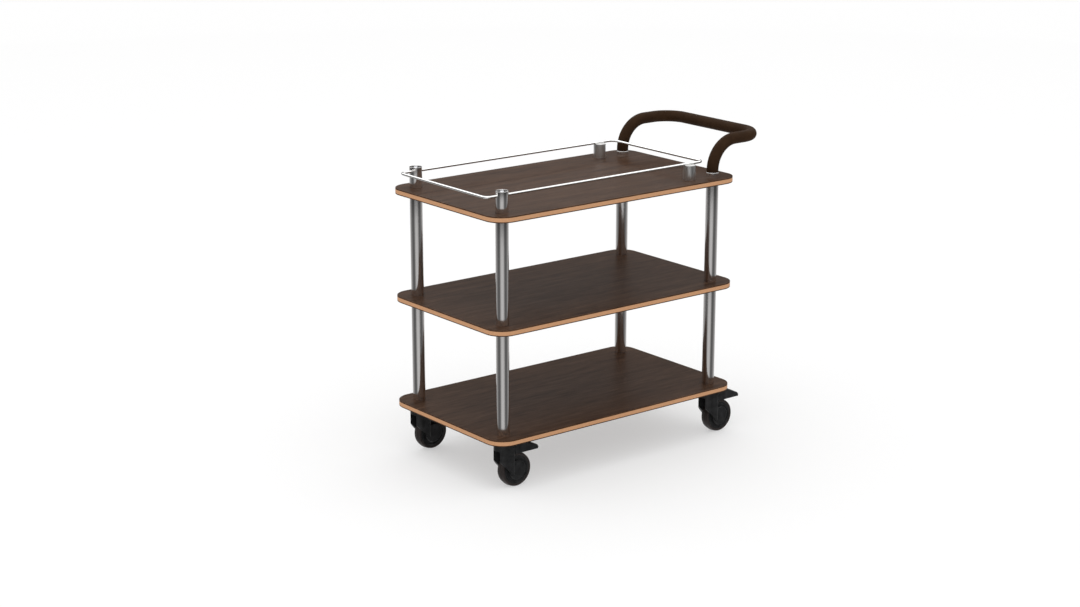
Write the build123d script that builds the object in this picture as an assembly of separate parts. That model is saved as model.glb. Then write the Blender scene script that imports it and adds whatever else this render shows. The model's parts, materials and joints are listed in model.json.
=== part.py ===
"""Food service trolley: three laminated shelves on tube columns, a gallery rail, a push handle
and four braked swivel castors.

Millimetres, +Z up. The floor is z = 0 and the origin is under the middle of the trolley's box.
The push handle is at the +X end and the castors trail towards it.
"""
from build123d import *
import math
import os

# ---- shelves -------------------------------------------------------------------------------
board_length = 920.0
board_width = 540.0
board_corner_radius = 57.0
core_thickness = 11.0
upper_face_thickness = 3.8
lower_face_thickness = 3.2
eased_edge = 1.0
shelf_pitch = 328.5
shelf_levels = ("bottom", "middle", "top")

# ---- columns -------------------------------------------------------------------------------
column_inset = 60.0
tube_diameter = 38.0
tube_wall = 1.5
post_seat_clearance = 0.2
insert_length = 24.0
stud_diameter = 12.0
stud_hole_clearance = 0.5
stud_engagement = 20.0

# ---- gallery rail --------------------------------------------------------------------------
rail_diameter = 8.0
rail_height = 48.0
rail_end_overhang = 55.0
rail_corner_radius = 17.0
rail_saddle_depth = 1.0
gallery_post_height = 61.5
stub_inset = 95.0
stub_top_thickness = 5.0
gallery_cap_recess = 3.5
gallery_cap_thickness = 3.0
gallery_screw_head_diameter = 12.5
gallery_screw_head_height = 4.0
gallery_screw_diameter = 5.0
stub_bolt_head_diameter = 19.0
stub_bolt_head_height = 6.0

# ---- push handle ---------------------------------------------------------------------------
grip_diameter = 36.0
grip_wall = 4.0
handle_tube_wall = 2.0
handle_straight_rise = 16.0
handle_bend_radius = 88.5
handle_run = 38.0
handle_corner_radius = 70.0
collar_height = 10.5

# ---- castors -------------------------------------------------------------------------------
castor_height = 147.0
wheel_diameter = 104.0
tyre_width = 29.0
tread_crown = 2.5
tyre_depth = 9.0
hub_rim_width = 25.0
hub_rim_thickness = 6.0
hub_web_width = 20.0
hub_boss_diameter = 24.0
wheel_side_gap = 0.8
castor_trail = 39.5
axle_diameter = 10.0
axle_head_diameter = 17.0
axle_head_thickness = 3.0
running_clearance = 0.05
end_float = 0.4
flange_thickness = 3.0
head_diameter = 56.0
head_height = 24.5
cheek_back = 25.0
cheek_corner_radius = 9.0
leg_front_length = 26.5
leg_toe_drop = 8.5
axle_disc_diameter = 58.0
axle_disc_thickness = 3.5
axle_disc_chamfer = 1.5
kingpin_diameter = 16.0
kingpin_head_diameter = 24.0
kingpin_head_thickness = 4.0

# ---- brake pedals --------------------------------------------------------------------------
pedal_pin_diameter = 6.0
pedal_pin_forward = 19.0
pedal_pin_drop = 16.0
pedal_tongue_width = 28.0
pedal_width = 40.0
pedal_skirt = 2.7
pedal_reach = 121.5
pedal_underside_drop = 1.0
pedal_arch_gap = 10.0
pedal_travel_degrees = 8.0
pedal_top_drop = 8.0
pedal_tip_thickness = 6.5
pedal_shoulder = 62.0
pedal_tip_corner = 9.0
pedal_side_gap = 0.4
pedal_top_bevel = 4.0
pedal_tongue_radius = 9.0

# ---- places that follow from the sizes ---------------------------------------------------------
tube_radius = tube_diameter / 2
tube_bore_radius = tube_radius - tube_wall
board_thickness = core_thickness + upper_face_thickness + lower_face_thickness
shelf_base = {level: castor_height + i * shelf_pitch for i, level in enumerate(shelf_levels)}
column_x = board_length / 2 - column_inset
column_y = board_width / 2 - column_inset
ends = {"left": -column_x, "right": column_x}
sides = {"front": -column_y, "rear": column_y}
stub_x = column_x - stub_inset
top_surface = shelf_base["top"] + board_thickness
seat_level = {level: base + board_thickness - upper_face_thickness
              for level, base in shelf_base.items()}

rail_radius = rail_diameter / 2
rail_level = top_surface + rail_height
rail_left = -column_x - rail_end_overhang
rail_right = stub_x + rail_end_overhang
stub_top_level = rail_level - rail_radius + rail_saddle_depth

grip_radius = grip_diameter / 2
handle_tube_radius = grip_radius - grip_wall
handle_bore_radius = handle_tube_radius - handle_tube_wall
handle_level = top_surface + handle_straight_rise + handle_bend_radius
handle_bar_x = column_x + handle_bend_radius + handle_run + handle_corner_radius

# the box reaches from the boards' -X edge to the handle's bar, so the columns sit off its middle
frame_shift = -(handle_bar_x + grip_radius - board_length / 2) / 2

wheel_radius = wheel_diameter / 2
tyre_bore_radius = wheel_radius - tyre_depth
fork_inner = tyre_width / 2 + wheel_side_gap
head_radius = head_diameter / 2
flange_bottom = castor_height - flange_thickness
head_top = flange_bottom - end_float
head_bottom = head_top - head_height
kingpin_seat = head_bottom + kingpin_head_thickness + end_float
pin_level = castor_height - pedal_pin_drop
pedal_underside = wheel_diameter - pedal_underside_drop
pedal_top = castor_height - pedal_top_drop
tongue_slot_half_width = pedal_tongue_width / 2 + pedal_side_gap

os.makedirs("parts", exist_ok=True)


def save(name, *solids):
    """Write one node: a single solid, or a group of identical ones."""
    placed = [Pos(frame_shift, 0, 0) * solid for solid in solids]
    shape = placed[0] if len(placed) == 1 else Compound(children=placed)
    export_step(shape, f"parts/{name}.step")


def rod(radius, bottom, top):
    """An upright round bar on the local Z axis."""
    return Pos(0, 0, bottom) * Cylinder(
        radius, top - bottom, align=(Align.CENTER, Align.CENTER, Align.MIN))


def tube(outer, inner, bottom, top):
    return rod(outer, bottom, top) - rod(inner, bottom, top)


def cross_bar(radius, half_length, x, z):
    """A round bar along Y."""
    return Pos(x, 0, z) * Rot(90, 0, 0) * Cylinder(radius, 2 * half_length)


def at_columns(shape):
    return [Pos(x, y, 0) * shape for x in ends.values() for y in sides.values()]


# ---- shelves -------------------------------------------------------------------------------

def board_layer(bottom, thickness, holes):
    """A rounded slab with a list of (x, y, radius) holes through it."""
    slab = Pos(0, 0, bottom) * extrude(
        RectangleRounded(board_length, board_width, board_corner_radius), thickness)
    for x, y, radius in holes:
        slab -= Pos(x, y, 0) * rod(radius, bottom, bottom + thickness)
    return slab


def outer_rim(slab, direction):
    """The long edge loop at a slab's top or bottom, without the edges of its holes."""
    rim = slab.faces().sort_by(Axis.Z)[direction].outer_wire()
    return rim.edges()


def make_shelf(level):
    stud_hole = stud_diameter / 2 + stud_hole_clearance
    seat_hole = tube_radius + post_seat_clearance
    columns = [(x, y) for x in ends.values() for y in sides.values()]
    stubs = [(stub_x, y) for y in sides.values()] if level == "top" else []
    bolt_holes = [(x, y, stud_hole) for x, y in columns + stubs]
    seat_holes = [(x, y, seat_hole) for x, y in columns + stubs]
    base = shelf_base[level]
    lower = board_layer(base, lower_face_thickness, bolt_holes)
    core = board_layer(base + lower_face_thickness, core_thickness, bolt_holes)
    upper = board_layer(seat_level[level], upper_face_thickness, seat_holes)
    save(f"{level}_shelf_core", core)
    save(f"{level}_shelf_lower_face", fillet(outer_rim(lower, 0), eased_edge))
    save(f"{level}_shelf_upper_face", fillet(outer_rim(upper, -1), eased_edge))


# ---- columns -------------------------------------------------------------------------------

def make_posts():
    """Each post stands in a seat cut through one shelf's upper face and carries the next shelf."""
    for storey, below, above in (("lower", "bottom", "middle"), ("upper", "middle", "top")):
        post = tube(tube_radius, tube_bore_radius, seat_level[below], shelf_base[above])
        for end, x in ends.items():
            for side, y in sides.items():
                save(f"{storey}_post_{side}_{end}", Pos(x, y, 0) * post)


def make_column_fixings():
    """Threaded inserts pressed into the tube ends, and the studs that join them through the shelves."""
    def insert(bottom):
        return tube(tube_bore_radius, stud_diameter / 2, bottom, bottom + insert_length)

    inserts = []
    for level in ("bottom", "middle"):
        inserts += at_columns(insert(seat_level[level]))
    for level in ("middle", "top"):
        inserts += at_columns(insert(shelf_base[level] - insert_length))
    top_insert = insert(seat_level["top"])
    inserts += [Pos(ends["left"], y, 0) * top_insert for y in sides.values()]
    inserts += [Pos(stub_x, y, 0) * top_insert for y in sides.values()]
    save("tube_end_inserts", *inserts)

    studs = []
    for level in ("middle", "top"):
        stud = rod(stud_diameter / 2, shelf_base[level] - stud_engagement,
                   seat_level[level] + stud_engagement)
        studs += at_columns(stud)
    save("joining_studs", *studs)

    handle_insert = tube(handle_bore_radius, stud_diameter / 2, seat_level["top"],
                         seat_level["top"] + insert_length)
    save("handle_end_inserts", *[Pos(column_x, y, 0) * handle_insert for y in sides.values()])

    head = rod(stub_bolt_head_diameter / 2, shelf_base["top"] - stub_bolt_head_height,
               shelf_base["top"])
    shank = rod(stud_diameter / 2, shelf_base["top"], seat_level["top"] + stud_engagement)
    save("rail_stub_bolts", *[Pos(stub_x, y, 0) * (head + shank) for y in sides.values()])


# ---- gallery rail --------------------------------------------------------------------------

def rail_ring():
    """A closed ring of rod: four straight runs joined by quarter bends."""
    length = rail_right - rail_left
    outline = RectangleRounded(length, 2 * column_y, rail_corner_radius).face().outer_wire()
    path = Pos((rail_left + rail_right) / 2, 0, rail_level) * outline
    start = Plane(origin=path @ 0, z_dir=path % 0)
    return sweep(start * Circle(rail_radius), path=path)


def make_gallery():
    save("gallery_rail", rail_ring())
    post_top = top_surface + gallery_post_height
    rail_bore = Pos(0, 0, rail_level) * Rot(0, 90, 0) * Cylinder(rail_radius, 2 * tube_diameter)
    post = tube(tube_radius, tube_bore_radius, seat_level["top"], post_top) - rail_bore
    stub_outside = rod(tube_radius, seat_level["top"], stub_top_level)
    stub_inside = rod(tube_bore_radius, seat_level["top"], stub_top_level - stub_top_thickness)
    stub = stub_outside - stub_inside - rail_bore
    cap_top = post_top - gallery_cap_recess
    cap_bottom = cap_top - gallery_cap_thickness
    cap = tube(tube_bore_radius, gallery_screw_diameter / 2, cap_bottom, cap_top)
    shank = rod(gallery_screw_diameter / 2, rail_level + rail_radius, cap_top)
    head = rod(gallery_screw_head_diameter / 2, cap_top, cap_top + gallery_screw_head_height)
    head = fillet(head.edges().sort_by(Axis.Z)[-1], gallery_screw_head_height / 2)
    for side, y in sides.items():
        save(f"gallery_post_{side}", Pos(ends["left"], y, 0) * post)
        save(f"rail_stub_{side}", Pos(stub_x, y, 0) * stub)
    save("gallery_post_caps", *[Pos(ends["left"], y, 0) * cap for y in sides.values()])
    save("gallery_post_screws",
         *[Pos(ends["left"], y, 0) * (shank + head) for y in sides.values()])


# ---- push handle ---------------------------------------------------------------------------

def handle_path(foot):
    """Up from each column, out over a wide bend, and round a corner into the cross bar."""
    half = [(column_x, -column_y, foot), (column_x, -column_y, handle_level),
            (handle_bar_x, -column_y, handle_level)]
    other = [(x, -y, z) for x, y, z in reversed(half)]
    bends = [handle_bend_radius, handle_corner_radius]
    return FilletPolyline(*half, *other, radius=bends + bends[::-1])


def swept_tube(outer, inner, foot):
    path = handle_path(foot)
    start = Plane(origin=path @ 0, z_dir=path % 0)
    return sweep(start * (Circle(outer) - Circle(inner)), path=path)


def make_handle():
    collar_top = top_surface + collar_height
    collar = tube(tube_radius, handle_tube_radius, seat_level["top"], collar_top)
    save("handle_collars", *[Pos(column_x, y, 0) * collar for y in sides.values()])
    save("handle_tube", swept_tube(handle_tube_radius, handle_bore_radius, seat_level["top"]))
    save("handle_grip", swept_tube(grip_radius, handle_tube_radius, collar_top))


# ---- castors, each about its own swivel axis with the wheel trailing towards +X ---------------------

def castor_stem():
    """Threaded stem, flange and kingpin in one forging, with a riveted head below the swivel."""
    stem = rod(stud_diameter / 2, castor_height, seat_level["bottom"] + stud_engagement)
    flange = rod(head_radius, flange_bottom, castor_height)
    kingpin = rod(kingpin_diameter / 2, kingpin_seat - end_float, flange_bottom)
    rivet = rod(kingpin_head_diameter / 2, head_bottom, kingpin_seat - end_float)
    return stem + flange + kingpin + rivet


def cheek_outline():
    """Plan of the head and legs: round at the front, square with soft corners at the back."""
    square = Pos(cheek_back / 2, 0) * Rectangle(cheek_back, head_diameter)
    back = square.vertices().group_by(Axis.X)[-1]
    return Circle(head_radius) + fillet(back, cheek_corner_radius)


def leg_side():
    """Side view of a leg: straight at the front, then slanting back to a toe below the axle."""
    toe_level = wheel_radius - leg_toe_drop
    slant_start = head_bottom - leg_front_length
    with BuildSketch(Plane.XZ) as side:
        with BuildLine():
            Polyline((-head_radius, head_top), (-head_radius, slant_start),
                     (cheek_back - cheek_corner_radius, toe_level), (cheek_back, toe_level),
                     (cheek_back, head_top), close=True)
        make_face()
    return extrude(side.sketch, amount=head_radius, both=True)


def castor_housing():
    body = extrude(cheek_outline(), head_top) & leg_side()
    body -= Box(2 * head_diameter, 2 * fork_inner, head_bottom,
                align=(Align.CENTER, Align.CENTER, Align.MIN))
    for side in (-1, 1):
        middle = side * (fork_inner + axle_disc_thickness / 2)
        disc = Rot(90, 0, 0) * Cylinder(axle_disc_diameter / 2, axle_disc_thickness)
        outer_rim_edge = disc.edges().filter_by(GeomType.CIRCLE).sort_by(Axis.Y)[0 if side < 0 else -1]
        disc = chamfer(outer_rim_edge, axle_disc_chamfer)
        body += Pos(castor_trail, middle, wheel_radius) * disc
    body -= rod(kingpin_diameter / 2 + running_clearance, 0, castor_height)
    body -= rod(kingpin_head_diameter / 2 + end_float, 0, kingpin_seat)
    disc_face = fork_inner + axle_disc_thickness
    body -= cross_bar(axle_diameter / 2, 2 * disc_face, castor_trail, wheel_radius)
    for side in (-1, 1):
        pocket = cross_bar(axle_head_diameter / 2, axle_head_thickness / 2, castor_trail, wheel_radius)
        body -= Pos(0, side * (disc_face - axle_head_thickness / 2), 0) * pocket
    slot_front = pedal_pin_forward - pedal_tongue_radius - end_float
    slot = Box(2 * cheek_back, 2 * tongue_slot_half_width, castor_height,
               align=(Align.MIN, Align.CENTER, Align.MIN))
    body -= Pos(slot_front, 0, 0) * slot
    body -= cross_bar(pedal_pin_diameter / 2, head_diameter, pedal_pin_forward, pin_level)
    return body


def castor_axle():
    """Riveted axle with a flat head let into each axle disc."""
    disc_face = fork_inner + axle_disc_thickness
    axle = cross_bar(axle_diameter / 2, disc_face, castor_trail, wheel_radius)
    for side in (-1, 1):
        head = cross_bar(axle_head_diameter / 2, axle_head_thickness / 2, castor_trail, wheel_radius)
        axle += Pos(0, side * (disc_face - axle_head_thickness / 2), 0) * head
    return axle


def wheel_section(points):
    """Turn a half section, given as (radius, y) points, about the axle."""
    with BuildSketch(Plane.XY) as section:
        with BuildLine():
            Polyline(*points, close=True)
        make_face()
    return revolve(section.sketch, Axis.Y)


def castor_hub():
    half_rim = hub_rim_width / 2
    half_boss = fork_inner - end_float
    half_web = hub_web_width / 2
    bore = axle_diameter / 2 + running_clearance
    boss = hub_boss_diameter / 2
    rim = tyre_bore_radius - hub_rim_thickness
    upper = [(bore, half_boss), (boss, half_boss), (boss, half_web), (rim, half_web),
             (rim, half_rim), (tyre_bore_radius, half_rim)]
    lower = [(r, -y) for r, y in reversed(upper)]
    return Pos(castor_trail, 0, wheel_radius) * wheel_section(upper + lower)


def castor_tyre():
    """A solid tyre with a lightly crowned tread."""
    half_rim = hub_rim_width / 2
    shoulder = wheel_radius - tread_crown
    with BuildSketch(Plane.XY) as section:
        with BuildLine():
            Line((tyre_bore_radius, -half_rim), (tyre_bore_radius, half_rim))
            Line((tyre_bore_radius, half_rim), (shoulder, tyre_width / 2))
            ThreePointArc((shoulder, tyre_width / 2), (wheel_radius, 0), (shoulder, -tyre_width / 2))
            Line((shoulder, -tyre_width / 2), (tyre_bore_radius, -half_rim))
        make_face()
    return Pos(castor_trail, 0, wheel_radius) * revolve(section.sketch, Axis.Y)


def castor_pedal():
    """A broad pedal arched over the tyre, with a tongue that hinges inside the head."""
    clearing = (pin_level - pedal_underside) * math.sin(math.radians(pedal_travel_degrees))
    front = cheek_back + 2 * end_float
    with BuildSketch(Plane.XZ) as side:
        with BuildLine():
            Polyline((front + end_float, pin_level), (front + end_float, pedal_top),
                     (pedal_shoulder, pedal_top),
                     (pedal_reach, pedal_underside + pedal_tip_thickness),
                     (pedal_reach, pedal_underside), (front + clearing, pedal_underside), close=True)
        make_face()
    body = extrude(side.sketch, amount=pedal_width / 2, both=True)
    tip = body.edges().filter_by(Axis.Z).group_by(Axis.X)[-1]
    body = chamfer(tip, pedal_tip_corner)
    tops = body.faces().filter_by(lambda face: face.normal_at().Z > 0)
    body = chamfer(tops.edges().filter_by(Axis.Y, reverse=True), pedal_top_bevel)
    arch = cross_bar(wheel_radius + pedal_arch_gap, pedal_width / 2 - pedal_skirt,
                     castor_trail, wheel_radius)
    body -= arch
    tongue = cross_bar(pedal_tongue_radius, pedal_tongue_width / 2, pedal_pin_forward, pin_level)
    neck = Pos(pedal_pin_forward, 0, pin_level) * Box(
        front + 2 * end_float - pedal_pin_forward + pedal_skirt, pedal_tongue_width,
        2 * pedal_tongue_radius, align=(Align.MIN, Align.CENTER, Align.CENTER))
    body += tongue + neck
    bore = pedal_pin_diameter / 2 + running_clearance
    return body - cross_bar(bore, head_diameter, pedal_pin_forward, pin_level)


def pedal_pin():
    half = head_radius - pedal_side_gap
    return cross_bar(pedal_pin_diameter / 2, half, pedal_pin_forward, pin_level)


def make_castors():
    pieces = {"castor_stem": castor_stem(), "castor_housing": castor_housing(),
              "castor_axle": castor_axle(), "castor_hub": castor_hub(),
              "castor_tyre": castor_tyre(), "brake_pedal": castor_pedal(),
              "pedal_pin": pedal_pin()}
    for end, x in ends.items():
        for side, y in sides.items():
            for name, piece in pieces.items():
                save(f"{name}_{side}_{end}", Pos(x, y, 0) * piece)


for shelf_level in shelf_levels:
    make_shelf(shelf_level)
make_posts()
make_column_fixings()
make_gallery()
make_handle()
make_castors()
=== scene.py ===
"""Food service trolley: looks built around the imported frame. Metres, +Z up, floor at z = 0."""
import json
import math

import bmesh
import bpy
from mathutils import Matrix, Vector


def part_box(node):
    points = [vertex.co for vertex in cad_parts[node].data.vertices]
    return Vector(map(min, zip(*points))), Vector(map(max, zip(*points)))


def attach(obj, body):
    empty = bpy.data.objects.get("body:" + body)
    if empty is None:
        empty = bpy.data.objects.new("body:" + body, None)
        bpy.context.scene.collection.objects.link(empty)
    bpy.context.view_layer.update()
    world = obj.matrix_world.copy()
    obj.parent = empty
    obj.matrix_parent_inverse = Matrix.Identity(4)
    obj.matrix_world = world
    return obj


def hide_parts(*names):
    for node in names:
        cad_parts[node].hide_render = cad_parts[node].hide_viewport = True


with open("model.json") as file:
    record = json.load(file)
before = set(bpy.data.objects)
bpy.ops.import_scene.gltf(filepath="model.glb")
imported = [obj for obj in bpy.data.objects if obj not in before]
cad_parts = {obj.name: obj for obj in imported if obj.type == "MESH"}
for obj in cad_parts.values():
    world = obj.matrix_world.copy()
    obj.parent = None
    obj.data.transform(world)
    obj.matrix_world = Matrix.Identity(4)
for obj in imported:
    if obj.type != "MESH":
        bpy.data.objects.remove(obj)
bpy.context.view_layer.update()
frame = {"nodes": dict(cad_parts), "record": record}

MM = 0.001
ENDS = ("left", "right")
SIDES = ("front", "rear")
CORNERS = [f"{side}_{end}" for end in ENDS for side in SIDES]


# ---- shader tools ----------------------------------------------------------------------------

def add_node(tree, kind, settings=None, **inputs):
    """Add a node, set its properties, and fill its inputs with values or link them from sockets."""
    node = tree.nodes.new(kind)
    for name, value in (settings or {}).items():
        setattr(node, name, value)
    for name, value in inputs.items():
        socket = node.inputs[int(name[1:]) if name[1:].isdigit() else name.replace("_", " ")]
        if isinstance(value, bpy.types.NodeSocket):
            tree.links.new(value, socket)
        else:
            socket.default_value = value
    return node


def ramp(tree, factor, stops):
    """A colour ramp from (position, grey or colour) stops."""
    node = add_node(tree, "ShaderNodeValToRGB", Fac=factor)
    elements = node.color_ramp.elements
    while len(elements) < len(stops):
        elements.new(0.5)
    for element, (position, colour) in zip(elements, stops):
        element.position = position
        grey = isinstance(colour, (int, float))
        element.color = (colour, colour, colour, 1) if grey else (*colour, 1)
    return node.outputs["Color"]


def mix_colours(tree, factor, a, b, blend="MIX"):
    """Blend two colours, each a socket or a plain colour, by a factor."""
    node = add_node(tree, "ShaderNodeMix", {"data_type": "RGBA", "blend_type": blend})
    for socket, value in ((node.inputs[0], factor), (node.inputs[6], a), (node.inputs[7], b)):
        if isinstance(value, bpy.types.NodeSocket):
            tree.links.new(value, socket)
        elif isinstance(value, (int, float)):
            socket.default_value = value
        else:
            socket.default_value = (*value, 1)
    return node.outputs[2]


def sums(tree, operation, a, b=0.0, c=0.0):
    """One step of arithmetic on values."""
    node = add_node(tree, "ShaderNodeMath", {"operation": operation}, _0=a, _1=b, _2=c)
    return node.outputs[0]


def object_place(tree, scale=(1, 1, 1), turn=(0, 0, 0)):
    """Object coordinates, stretched and turned by a Mapping node."""
    place = add_node(tree, "ShaderNodeTexCoord").outputs["Object"]
    return add_node(tree, "ShaderNodeMapping", Vector=place, Scale=scale, Rotation=turn).outputs[0]


def noise(tree, place, scale, detail=4.0, roughness=0.55):
    """A noise pattern's value at a place."""
    return add_node(tree, "ShaderNodeTexNoise", Vector=place, Scale=scale, Detail=detail,
                    Roughness=roughness).outputs["Fac"]


def new_group(name, inputs, outputs):
    """A node group with float or colour inputs, given as name: default, and named outputs."""
    tree = bpy.data.node_groups.new(name, "ShaderNodeTree")
    for label, default in inputs.items():
        colour = isinstance(default, tuple)
        socket = tree.interface.new_socket(
            label, in_out="INPUT", socket_type="NodeSocketColor" if colour else "NodeSocketFloat")
        socket.default_value = (*default, 1) if colour else default
    for label, kind in outputs.items():
        tree.interface.new_socket(label, in_out="OUTPUT", socket_type=kind)
    return tree, tree.nodes.new("NodeGroupInput").outputs, tree.nodes.new("NodeGroupOutput").inputs


def surface_group():
    """Handling marks for any finish: cloudy smears and fine specks that shift its roughness."""
    tree, given, wanted = new_group(
        "handling_marks",
        {"Roughness": 0.3, "Smear": 0.08, "Speck": 0.04, "Smear Size": 9.0, "Speck Size": 900.0},
        {"Roughness": "NodeSocketFloat", "Height": "NodeSocketFloat"})
    place = object_place(tree)
    smear = add_node(tree, "ShaderNodeTexNoise", Vector=place, Scale=given["Smear Size"],
                     Detail=5.0, Roughness=0.6).outputs["Fac"]
    speck = add_node(tree, "ShaderNodeTexNoise", Vector=place, Scale=given["Speck Size"],
                     Detail=2.0).outputs["Fac"]
    smear_part = sums(tree, "MULTIPLY", sums(tree, "SUBTRACT", smear, 0.5), given["Smear"])
    speck_part = sums(tree, "MULTIPLY", sums(tree, "SUBTRACT", speck, 0.5), given["Speck"])
    rough = sums(tree, "ADD", given["Roughness"], sums(tree, "ADD", smear_part, speck_part))
    tree.links.new(rough, wanted["Roughness"])
    tree.links.new(speck, wanted["Height"])
    return tree


MARKS = surface_group()


def new_material(name, **shader):
    """A material with one Principled shader; the keywords set its own sockets."""
    material = bpy.data.materials.new(name)
    material.use_nodes = True
    tree = material.node_tree
    tree.nodes.clear()
    principled = add_node(tree, "ShaderNodeBsdfPrincipled")
    for label, value in shader.items():
        principled.inputs[label.replace("_", " ")].default_value = value
    output = add_node(tree, "ShaderNodeOutputMaterial", Surface=principled.outputs[0])
    output.is_active_output = True
    return material, tree, principled


def use_marks(tree, principled, bump, distance, relief=None, **values):
    """Drive a shader's roughness from the handling marks, and its normal from them or a relief."""
    marks = add_node(tree, "ShaderNodeGroup", {"node_tree": MARKS}, **values)
    tree.links.new(marks.outputs["Roughness"], principled.inputs["Roughness"])
    height = marks.outputs["Height"] if relief is None else relief
    bumped = add_node(tree, "ShaderNodeBump", Strength=bump, Distance=distance, Height=height)
    tree.links.new(bumped.outputs[0], principled.inputs["Normal"])


# ---- finishes --------------------------------------------------------------------------------

FINE_DEPTH = 0.2 * MM
GRAIN_DEPTH = 0.3 * MM
TYRE_DEPTH = 0.4 * MM
PLY_PAIR = 3.1 * MM
NAP_SIZE = 1400.0


def laminate_material():
    """Dark wenge laminate, its grain running along the shelf."""
    material, tree, principled = new_material("wenge_laminate", Specular_IOR_Level=0.05)
    broad = noise(tree, object_place(tree, (1.2, 14.0, 2.0)), 3.0, 6.0, 0.65)
    streak = noise(tree, object_place(tree, (6.0, 60.0, 20.0)), 2.2, 8.0, 0.7)
    pore = noise(tree, object_place(tree, (14.0, 900.0, 100.0)), 1.6, 3.0, 0.5)
    tone = sums(tree, "ADD", sums(tree, "MULTIPLY", broad, 0.45), sums(tree, "MULTIPLY", streak, 0.55))
    colour = ramp(tree, tone, [(0.38, (0.036, 0.0155, 0.0075)), (0.47, (0.062, 0.031, 0.0165)),
                               (0.54, (0.079, 0.041, 0.0235)), (0.64, (0.114, 0.063, 0.0380))])
    pore_mask = ramp(tree, pore, [(0.36, 1.0), (0.46, 0.0)])
    colour = mix_colours(tree, sums(tree, "MULTIPLY", pore_mask, 0.45), colour, (0.024, 0.013, 0.008))
    tree.links.new(colour, principled.inputs["Base Color"])
    grain = sums(tree, "SUBTRACT", streak, sums(tree, "MULTIPLY", pore_mask, 0.5))
    use_marks(tree, principled, 0.10, GRAIN_DEPTH, grain, Roughness=0.34, Smear=0.10, Speck=0.05)
    return material


def ply_material():
    """Bare plywood edge: thin plies, alternately long grain and end grain."""
    material, tree, principled = new_material("ply_edge", Specular_IOR_Level=0.35)
    place = add_node(tree, "ShaderNodeTexCoord").outputs["Object"]
    height = add_node(tree, "ShaderNodeSeparateXYZ", Vector=place).outputs["Z"]
    ply = sums(tree, "SINE", sums(tree, "MULTIPLY", height, math.tau / PLY_PAIR))
    ply_mask = ramp(tree, sums(tree, "MULTIPLY_ADD", ply, 0.5, 0.5), [(0.35, 0.0), (0.65, 1.0)])
    fibre = noise(tree, object_place(tree, (60, 60, 900)), 3.0, 5.0, 0.6)
    end_grain = noise(tree, object_place(tree, (900, 900, 700)), 1.4, 2.0, 0.5)
    blotch = noise(tree, object_place(tree, (7, 7, 4)), 2.0, 3.0, 0.5)
    long_tone = ramp(tree, fibre, [(0.3, (0.47, 0.232, 0.109)), (0.7, (0.68, 0.372, 0.196))])
    end_tone = ramp(tree, end_grain, [(0.3, (0.37, 0.170, 0.075)), (0.7, (0.60, 0.315, 0.155))])
    colour = mix_colours(tree, ply_mask, long_tone, end_tone)
    colour = mix_colours(tree, sums(tree, "MULTIPLY", blotch, 0.3), colour, (0.57, 0.305, 0.149))
    tree.links.new(colour, principled.inputs["Base Color"])
    sawn = sums(tree, "ADD", fibre, sums(tree, "MULTIPLY", ply_mask, 0.3))
    use_marks(tree, principled, 0.25, GRAIN_DEPTH, sawn, Roughness=0.5, Smear=0.10, Speck=0.10)
    return material


def metal_material(name, colour, roughness, smear, speck, bump=0.03, speck_size=900.0):
    """Plated, turned or plain metal with faint smears."""
    material, tree, principled = new_material(name, Metallic=1.0, Base_Color=(*colour, 1))
    use_marks(tree, principled, bump, FINE_DEPTH, Roughness=roughness, Smear=smear, Speck=speck,
              Speck_Size=speck_size)
    return material


def grip_material():
    """Dark brown soft-touch sleeve: a fine matt nap that catches light at its edges."""
    material, tree, principled = new_material(
        "brown_grip", Specular_IOR_Level=0.05, Sheen_Weight=0.04, Sheen_Roughness=0.45,
        Sheen_Tint=(0.80, 0.45, 0.22, 1))
    nap = noise(tree, object_place(tree), NAP_SIZE, 3.0, 0.6)
    cloud = noise(tree, object_place(tree), 22.0, 4.0, 0.6)
    tone = sums(tree, "ADD", sums(tree, "MULTIPLY", nap, 0.4), sums(tree, "MULTIPLY", cloud, 0.6))
    colour = ramp(tree, tone, [(0.35, (0.022, 0.0098, 0.0038)), (0.65, (0.038, 0.0185, 0.0080))])
    tree.links.new(colour, principled.inputs["Base Color"])
    use_marks(tree, principled, 0.25, FINE_DEPTH, nap, Roughness=0.62, Smear=0.12, Speck=0.10,
              Speck_Size=NAP_SIZE)
    return material


def moulded_material(name, colour, roughness, grain):
    """Black moulded plastic with a fine spark-eroded texture and a little dust."""
    material, tree, principled = new_material(name, Specular_IOR_Level=0.27)
    dust = noise(tree, object_place(tree), 40.0, 6.0, 0.7)
    lighter = tuple(2.2 * channel + 0.012 for channel in colour)
    shade = ramp(tree, dust, [(0.35, colour), (0.75, lighter)])
    tree.links.new(shade, principled.inputs["Base Color"])
    use_marks(tree, principled, grain, GRAIN_DEPTH, Roughness=roughness, Smear=0.14, Speck=0.12,
              Speck_Size=2200.0)
    return material


def tyre_material():
    """Dark grey-brown rubber, scuffed paler where it rolls."""
    material, tree, principled = new_material("tyre_rubber", Specular_IOR_Level=0.3)
    scuff = noise(tree, object_place(tree), 120.0, 6.0, 0.7)
    shade = ramp(tree, scuff, [(0.30, (0.016, 0.0115, 0.0105)), (0.70, (0.034, 0.0250, 0.0225))])
    tree.links.new(shade, principled.inputs["Base Color"])
    use_marks(tree, principled, 0.12, TYRE_DEPTH, Roughness=0.50, Smear=0.16, Speck=0.12,
              Speck_Size=700.0)
    return material


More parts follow.
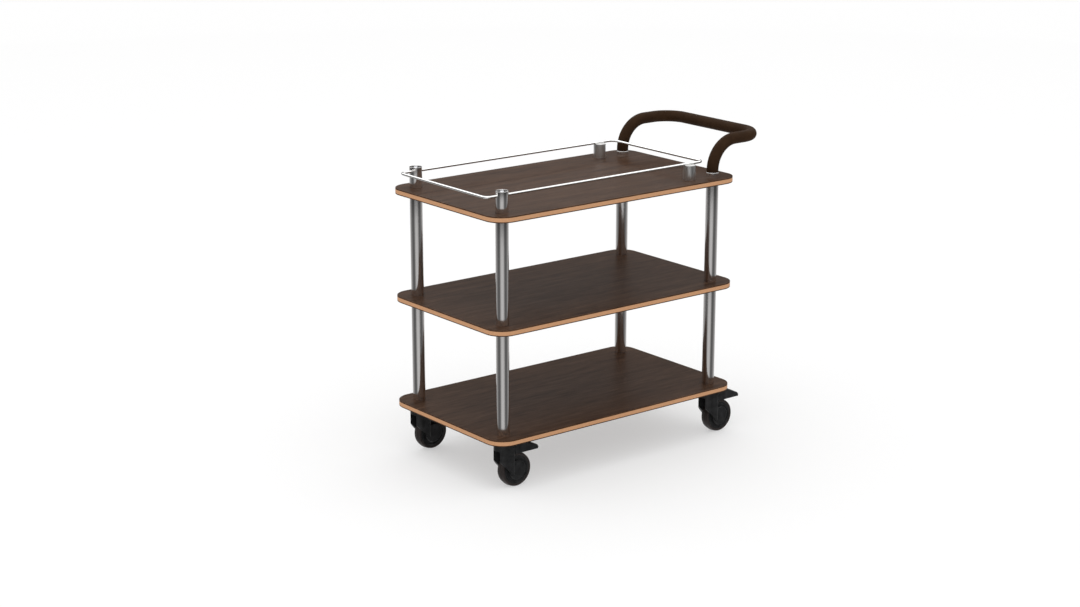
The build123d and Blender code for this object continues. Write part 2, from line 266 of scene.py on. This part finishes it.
FINISHES = {
    "shelf_laminate": laminate_material(),
    "shelf_ply": ply_material(),
    "tube_chrome": metal_material("chrome_tube", (0.86, 0.84, 0.83), 0.16, 0.10, 0.05, bump=0.01),
    "rail_chrome": metal_material("chrome_rod", (0.90, 0.90, 0.89), 0.14, 0.06, 0.03, bump=0.01),
    "stub_steel": metal_material("turned_steel", (0.80, 0.80, 0.79), 0.36, 0.10, 0.16,
                                 speck_size=2500.0),
    "fastener_steel": metal_material("zinc_fasteners", (0.62, 0.63, 0.65), 0.28, 0.14, 0.10),
    "insert_alloy": metal_material("machined_alloy", (0.70, 0.71, 0.72), 0.33, 0.10, 0.14),
    "castor_steel": metal_material("zinc_castor", (0.60, 0.61, 0.63), 0.26, 0.12, 0.10),
    "black_oxide": moulded_material("black_oxide", (0.0085, 0.0085, 0.009), 0.36, grain=0.05),
    "cap_plastic": moulded_material("cap_plastic", (0.012, 0.012, 0.012), 0.45, grain=0.05),
    "grip_brown": grip_material(),
    "castor_black": moulded_material("castor_plastic", (0.0075, 0.0076, 0.008), 0.38, grain=0.06),
    "pedal_black": moulded_material("pedal_plastic", (0.0075, 0.0078, 0.0085), 0.42, grain=0.08),
    "tyre_grey": tyre_material(),
}

for part in frame["record"]["subparts"]:
    mesh = frame["nodes"][part["node"]].data
    mesh.materials.clear()
    mesh.materials.append(FINISHES[part["material_slot"]])
    mesh.polygons.foreach_set("use_smooth", [True] * len(mesh.polygons))


# ---- mesh tools ------------------------------------------------------------------------------

def middle(node):
    """The middle of a CAD node's box."""
    low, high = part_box(node)
    return (Vector(low) + Vector(high)) / 2


WELD = 0.001 * MM
CREASE = math.radians(32)


def finish_piece(form, name, body, slot, *nodes):
    """Merge, face outwards, smooth, and hand the form over as a piece in place of its CAD nodes."""
    bmesh.ops.remove_doubles(form, verts=form.verts, dist=WELD)
    bmesh.ops.recalc_face_normals(form, faces=form.faces)
    for face in form.faces:
        face.smooth = True
    for edge in form.edges:
        edge.smooth = len(edge.link_faces) != 2 or edge.calc_face_angle() < CREASE
    mesh = bpy.data.meshes.new(name)
    form.to_mesh(mesh)
    form.free()
    mesh.materials.append(FINISHES[slot])
    piece = bpy.data.objects.new(name, mesh)
    bpy.context.scene.collection.objects.link(piece)
    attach(piece, body)
    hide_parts(*nodes)
    return piece


def turn(form, profile, axis, origin, steps=72, closed=False):
    """Spin a profile about an axis. Its points are (radius, height, easing of the corner) in mm."""
    before = set(form.verts)
    along = Vector((0, 0, 1)) if axis == "Z" else Vector((0, 1, 0))
    verts = [form.verts.new(origin + Vector((r * MM, 0, 0)) + along * (h * MM)) for r, h, _ in profile]
    pairs = list(zip(verts, verts[1:]))
    if closed:
        pairs.append((verts[-1], verts[0]))
    for pair in pairs:
        form.edges.new(pair)
    for vert, (_, _, easing) in zip(verts, profile):
        if easing:
            bmesh.ops.bevel(form, geom=[vert], offset=easing * MM, offset_type="OFFSET", segments=5,
                            profile=0.5, affect="VERTICES", material=-1)
    wire = [vert for vert in form.verts if vert not in before]
    edges = list({edge for vert in wire for edge in vert.link_edges})
    bmesh.ops.spin(form, geom=wire + edges, cent=origin, axis=along, angle=math.tau, steps=steps,
                   use_merge=True)


def open_ring(form, centre, way, radius, steps):
    """A loop of edges square to a direction; radius in mm."""
    turn_to = Vector((0, 0, 1)).rotation_difference(way).to_matrix().to_4x4()
    made = bmesh.ops.create_circle(form, segments=steps, radius=radius * MM,
                                   matrix=Matrix.Translation(centre) @ turn_to)
    return list({edge for vert in made["verts"] for edge in vert.link_edges})


def push(form, edges, move, growth=1.0):
    """Extrude a loop along a vector, growing it about its middle."""
    made = bmesh.ops.extrude_edge_only(form, edges=edges)["geom"]
    verts = [item for item in made if isinstance(item, bmesh.types.BMVert)]
    bmesh.ops.translate(form, verts=verts, vec=move)
    hub = sum((vert.co for vert in verts), Vector()) / len(verts)
    bmesh.ops.scale(form, verts=verts, vec=(growth, growth, growth), space=Matrix.Translation(-hub))
    return [item for item in made if isinstance(item, bmesh.types.BMEdge)
            and all(vert in verts for vert in item.verts)]


def swing(form, edges, centre, axis, degrees, steps):
    """Extrude a loop round a bend."""
    made = bmesh.ops.spin(form, geom=edges, cent=centre, axis=axis, angle=math.radians(degrees),
                          steps=steps)["geom_last"]
    return [item for item in made if isinstance(item, bmesh.types.BMEdge)]


# ---- posts, rail and handle --------------------------------------------------------------------

# Radii in mm: the column tube outside and inside, the rail's corners to the rod's middle, the
# handle's sleeve outside and inside, and the handle's two kinds of bend.
TUBE_RADIUS = 19.0
TUBE_BORE = 17.5
RAIL_BEND = 17.0
GRIP_RADIUS = 18.0
GRIP_BORE = 14.1
COLLAR_BORE = 14.0
HANDLE_BEND = 88.5
HANDLE_CORNER = 70.0
# The gallery post's screw: its radius and how far it goes in, and its domed head.
SCREW_RADIUS = 2.5
SCREW_DEPTH = 9.4
SCREW_HEAD = 6.25
RIM_EASE = 0.4


def build_tube(node, top_ease, bore_ease):
    """A column tube between its node's ends, its rims eased by the given amounts in mm."""
    low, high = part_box(node)
    half = (high[2] - low[2]) / MM / 2
    form = bmesh.new()
    turn(form, [(TUBE_BORE, -half, 0), (TUBE_RADIUS, -half, RIM_EASE), (TUBE_RADIUS, half, top_ease),
                (TUBE_BORE, half, bore_ease)], "Z", middle(node), 96, True)
    finish_piece(form, f"tube_{node}", "frame", "tube_chrome", node)


def build_posts():
    """Columns, and the gallery posts with a dished cap and a domed screw in each."""
    for node in [name for name in frame["nodes"] if name[:10] in ("lower_post", "upper_post")]:
        build_tube(node, RIM_EASE, 0)
    caps = bmesh.new()
    screws = bmesh.new()
    cap_low, cap_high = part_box("gallery_post_caps")
    cap_radius = TUBE_BORE - 0.05
    cap_bore = SCREW_RADIUS - 0.1
    for side in SIDES:
        node = f"gallery_post_{side}"
        build_tube(node, 0.7, 0.6)
        place = middle(node)
        turn(caps, [(cap_bore, 0, 0), (cap_radius, 0, 0.3), (cap_radius, 3.0, 0.8), (9.5, 3.0, 0.6),
                    (9.0, 2.4, 0.4), (cap_bore, 2.4, 0)],
             "Z", Vector((place.x, place.y, cap_low[2])), 72, True)
        turn(screws, [(0, -SCREW_DEPTH, 0), (SCREW_RADIUS, -SCREW_DEPTH, 0.3), (SCREW_RADIUS, 0, 0),
                      (SCREW_HEAD, 0, 0.3), (SCREW_HEAD, 1.6, 1.4), (3.6, 3.9, 1.2), (2.2, 3.9, 0.2),
                      (2.0, 1.7, 0.2), (0, 1.5, 0)],
             "Z", Vector((place.x, place.y, cap_high[2])), 48)
    finish_piece(caps, "gallery_caps", "frame", "cap_plastic", "gallery_post_caps")
    finish_piece(screws, "gallery_screws", "frame", "fastener_steel", "gallery_post_screws")


def build_stubs():
    """Turned stubs that the rail's handle end sits on."""
    for side in SIDES:
        node = f"rail_stub_{side}"
        low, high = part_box(node)
        top = (high[2] - low[2]) / MM
        foot = Vector((middle(node).x, middle(node).y, low[2]))
        form = bmesh.new()
        turn(form, [(0, 0, 0), (TUBE_RADIUS, 0, RIM_EASE), (TUBE_RADIUS, top, 1.1), (0, top, 0)],
             "Z", foot, 96)
        finish_piece(form, f"stub_{side}", "frame", "stub_steel", node)


def build_rail():
    """The gallery ring: four straight runs of rod and quarter bends."""
    low, high = (Vector(corner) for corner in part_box("gallery_rail"))
    radius = (high.z - low.z) / 2
    middle_line = radius + RAIL_BEND * MM
    length = high.x - low.x - 2 * middle_line
    width = high.y - low.y - 2 * middle_line
    start = Vector((low.x + middle_line, low.y + radius, low.z + radius))
    form = bmesh.new()
    loop = open_ring(form, start, Vector((1, 0, 0)), radius / MM, 32)
    place, way = start, Vector((1, 0, 0))
    for run in (length, width, length, width):
        loop = push(form, loop, way * run)
        place = place + way * run
        inward = Vector((-way.y, way.x, 0))
        centre = place + inward * (RAIL_BEND * MM)
        loop = swing(form, loop, centre, (0, 0, 1), 90, 14)
        place = centre + way * (RAIL_BEND * MM)
        way = inward
    finish_piece(form, "rail_ring", "frame", "rail_chrome", "gallery_rail")


def build_handle():
    """The sleeve over the bent tube, with rolled ends, and the chrome collars at its feet."""
    low, high = (Vector(corner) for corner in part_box("handle_grip"))
    column = middle("handle_collars").x
    radius = GRIP_RADIUS * MM
    out, corner = HANDLE_BEND * MM, HANDLE_CORNER * MM
    front, rear = low.y + radius, high.y - radius
    bar, level = high.x - radius, high.z - radius
    # The rolled end of the sleeve: how far along it, and its radius there.
    rolls = [(0.0, GRIP_BORE), (0.05, 16.6), (0.25, 17.35), (0.9, 17.87), (1.8, GRIP_RADIUS)]
    form = bmesh.new()
    loop = open_ring(form, Vector((column, front, low.z)), Vector((0, 0, 1)), rolls[0][1], 64)
    for (last_rise, last_width), (rise, width) in zip(rolls, rolls[1:]):
        loop = push(form, loop, Vector((0, 0, (rise - last_rise) * MM)), width / last_width)
    straight = level - out - low.z - rolls[-1][0] * MM
    loop = push(form, loop, Vector((0, 0, straight)))
    loop = swing(form, loop, (column + out, front, level - out), (0, 1, 0), 90, 28)
    loop = push(form, loop, Vector((bar - corner - column - out, 0, 0)))
    loop = swing(form, loop, (bar - corner, front + corner, level), (0, 0, 1), 90, 28)
    loop = push(form, loop, Vector((0, rear - front - 2 * corner, 0)))
    loop = swing(form, loop, (bar - corner, rear - corner, level), (0, 0, 1), 90, 28)
    loop = push(form, loop, Vector((column + out - bar + corner, 0, 0)))
    loop = swing(form, loop, (column + out, rear, level - out), (0, -1, 0), 90, 28)
    loop = push(form, loop, Vector((0, 0, -straight)))
    backwards = rolls[::-1]
    for (last_rise, last_width), (rise, width) in zip(backwards, backwards[1:]):
        loop = push(form, loop, Vector((0, 0, (rise - last_rise) * MM)), width / last_width)
    finish_piece(form, "grip_sleeve", "frame", "grip_brown", "handle_grip")

    form = bmesh.new()
    low, high = (Vector(corner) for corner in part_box("handle_collars"))
    height = (high.z - low.z) / MM
    for y in (front, rear):
        turn(form, [(COLLAR_BORE, 0, 0), (TUBE_RADIUS, 0, 0.3), (TUBE_RADIUS, height, 1.3),
                    (COLLAR_BORE, height, 0)], "Z", Vector((column, y, low.z)), 96, True)
    finish_piece(form, "collar_rings", "frame", "tube_chrome", "handle_collars")


# ---- castors -----------------------------------------------------------------------------------

# Castor sizes in mm: the wheel's radius to the crown and to the shoulder, the tyre's seat on the
# hub, half widths, and the easing of the edges.
WHEEL_RADIUS = 52.0
SHOULDER_RADIUS = 49.3
TYRE_SEAT = 43.0
TYRE_HALF = 14.5
RIM_HALF = 12.5
WEB_HALF = 10.0
BOSS_HALF = 14.9
BOSS_RADIUS = 12.0
AXLE_BORE = 5.05
HOUSING_EASE = 0.7
PEDAL_EASE = 0.9


def mirrored(half):
    """A closed profile from one half of it, mirrored across the wheel's middle plane."""
    return half + [(r, -h, easing) for r, h, easing in reversed(half) if h]


def build_wheel(corner):
    """Tyre with soft shoulders, and a hub with a recess between its rim and boss."""
    axle = middle(f"castor_tyre_{corner}")
    tyre = bmesh.new()
    turn(tyre, mirrored([(WHEEL_RADIUS, 0, 0), (51.4, 7.5, 9.0), (SHOULDER_RADIUS, TYRE_HALF, 2.2),
                         (TYRE_SEAT + 0.4, RIM_HALF + 0.4, 0.3), (TYRE_SEAT, RIM_HALF, 0)]),
         "Y", axle, 128, True)
    finish_piece(tyre, f"tyre_{corner}", f"wheel_{corner}", "tyre_grey", f"castor_tyre_{corner}")
    hub = bmesh.new()
    turn(hub, mirrored([(AXLE_BORE, BOSS_HALF, 0), (BOSS_RADIUS, BOSS_HALF, 0.8),
                        (BOSS_RADIUS + 0.4, WEB_HALF, 1.5), (36.7, WEB_HALF, 1.5),
                        (37.1, RIM_HALF, 0.8), (TYRE_SEAT, RIM_HALF, 0)]), "Y", axle, 128, True)
    finish_piece(hub, f"hub_{corner}", f"wheel_{corner}", "castor_black", f"castor_hub_{corner}")


def soften(node, name, body, slot, width):
    """A copy of a CAD form with its sharp edges rounded; width in mm."""
    form = bmesh.new()
    form.from_mesh(frame["nodes"][node].data)
    bmesh.ops.remove_doubles(form, verts=form.verts, dist=2 * WELD)
    bmesh.ops.dissolve_limit(form, angle_limit=math.radians(0.6), verts=form.verts, edges=form.edges)
    piece = finish_piece(form, name, body, slot, node)
    bevel = piece.modifiers.new("edges", "BEVEL")
    bevel.width = width * MM
    bevel.segments = 3
    bevel.limit_method = "ANGLE"
    bevel.angle_limit = math.radians(38)
    bevel.harden_normals = False


def build_castors():
    """Each corner's wheel, and its housing and brake pedal with eased edges."""
    for corner in CORNERS:
        build_wheel(corner)
        soften(f"castor_housing_{corner}", f"housing_{corner}", f"swivel_{corner}", "castor_black",
               HOUSING_EASE)
        soften(f"brake_pedal_{corner}", f"pedal_{corner}", f"pedal_{corner}", "pedal_black",
               PEDAL_EASE)


build_posts()
build_stubs()
build_rail()
build_handle()
build_castors()


# ---- stage -------------------------------------------------------------------------------------

# The camera's direction from the trolley. The screen's bands run from it (0) to opposite it (1).
CAMERA_AZIMUTH = math.radians(-129.5)
SCREEN_BANDS = [(0.0, 0.350), (0.13, 0.288), (0.22, 0.081), (0.38, 0.063), (0.50, 0.138),
                (0.66, 0.238), (0.80, 0.413), (1.0, 0.531)]


SCREEN_RADIUS = 9.0
SCREEN_HEIGHT = 24.0
FLOOR_SIZE = 40.0


def set_out(form, name, material):
    """Put a stage form in the scene under its material."""
    mesh = bpy.data.meshes.new(name)
    form.to_mesh(mesh)
    form.free()
    mesh.materials.append(material)
    thing = bpy.data.objects.new(name, mesh)
    bpy.context.scene.collection.objects.link(thing)
    return thing


def make_floor():
    """A pale floor that keeps to itself: reflections see the screen instead."""
    form = bmesh.new()
    bmesh.ops.create_grid(form, x_segments=1, y_segments=1, size=FLOOR_SIZE)
    material = new_material(
        "floor_paint", Base_Color=(0.55, 0.55, 0.55, 1), Roughness=0.9, Specular_IOR_Level=0.1,
        Emission_Color=(1, 1, 1, 1), Emission_Strength=0.44)[0]
    set_out(form, "floor", material).visible_glossy = False


def softbox(name, place, aim, size, power):
    """A square soft light at a place, facing an aim; metres and watts."""
    data = bpy.data.lights.new(name, "AREA")
    data.size = size
    data.energy = power
    lamp = bpy.data.objects.new(name, data)
    bpy.context.scene.collection.objects.link(lamp)
    lamp.location = place
    lamp.rotation_euler = (Vector(aim) - Vector(place)).to_track_quat("-Z", "Y").to_euler()


def make_world():
    """Even white light from all round."""
    world = bpy.data.worlds.new("studio")
    bpy.context.scene.world = world
    world.use_nodes = True
    background = world.node_tree.nodes["Background"]
    background.inputs["Color"].default_value = (1, 1, 1, 1)
    background.inputs["Strength"].default_value = 1.0


def make_screen():
    """A ring of studio screens, seen only in reflections: light and dark bands by direction."""
    form = bmesh.new()
    bmesh.ops.create_cone(form, segments=96, radius1=SCREEN_RADIUS, radius2=SCREEN_RADIUS,
                          depth=SCREEN_HEIGHT)
    material = bpy.data.materials.new("screen_bands")
    material.use_nodes = True
    tree = material.node_tree
    tree.nodes.clear()
    place = add_node(tree, "ShaderNodeTexCoord").outputs["Object"]
    split = add_node(tree, "ShaderNodeSeparateXYZ", Vector=place)
    angle = sums(tree, "ARCTAN2", split.outputs["Y"], split.outputs["X"])
    turned = sums(tree, "WRAP", sums(tree, "SUBTRACT", angle, CAMERA_AZIMUTH), math.pi, -math.pi)
    away = sums(tree, "DIVIDE", sums(tree, "ABSOLUTE", turned), math.pi)
    bands = ramp(tree, away, SCREEN_BANDS)
    height = sums(tree, "DIVIDE", sums(tree, "ADD", split.outputs["Z"], 1.0), 8.0)
    shade = ramp(tree, height, [(0.05, 1.0), (0.15, 0.2), (0.57, 0.2), (0.72, 0.0)])
    high = ramp(tree, height, [(0.57, 0.0), (0.72, 1.0)])
    colour = mix_colours(tree, 1.0, bands, shade, "MULTIPLY")
    glow = add_node(tree, "ShaderNodeEmission", Strength=1.6,
                    Color=mix_colours(tree, 1.0, colour, high, "ADD"))
    add_node(tree, "ShaderNodeOutputMaterial", Surface=glow.outputs[0])
    screen = set_out(form, "screen", material)
    for ray in ("camera", "diffuse", "shadow", "transmission", "volume_scatter"):
        setattr(screen, f"visible_{ray}", False)


CAMERA_PLACE = (-3.9505, -4.7954, 2.1555)
CAMERA_TILT = math.radians(90 - 15.538)
CAMERA_HEADING = math.radians(-38.204)


def make_camera():
    """A long lens from the trolley's near corner, a little above it."""
    data = bpy.data.cameras.new("camera")
    data.sensor_width = 36.0
    data.lens = 70.17
    data.clip_end = 200
    camera = bpy.data.objects.new("camera", data)
    bpy.context.scene.collection.objects.link(camera)
    camera.location = CAMERA_PLACE
    camera.rotation_euler = (CAMERA_TILT, 0, CAMERA_HEADING)
    bpy.context.scene.camera = camera


make_floor()
make_world()
make_screen()
make_camera()
softbox("overhead", (-1.2, -0.6, 3.4), (0, 0, 0.3), 2.2, 12)
bpy.context.scene.view_settings.view_transform = "Standard"
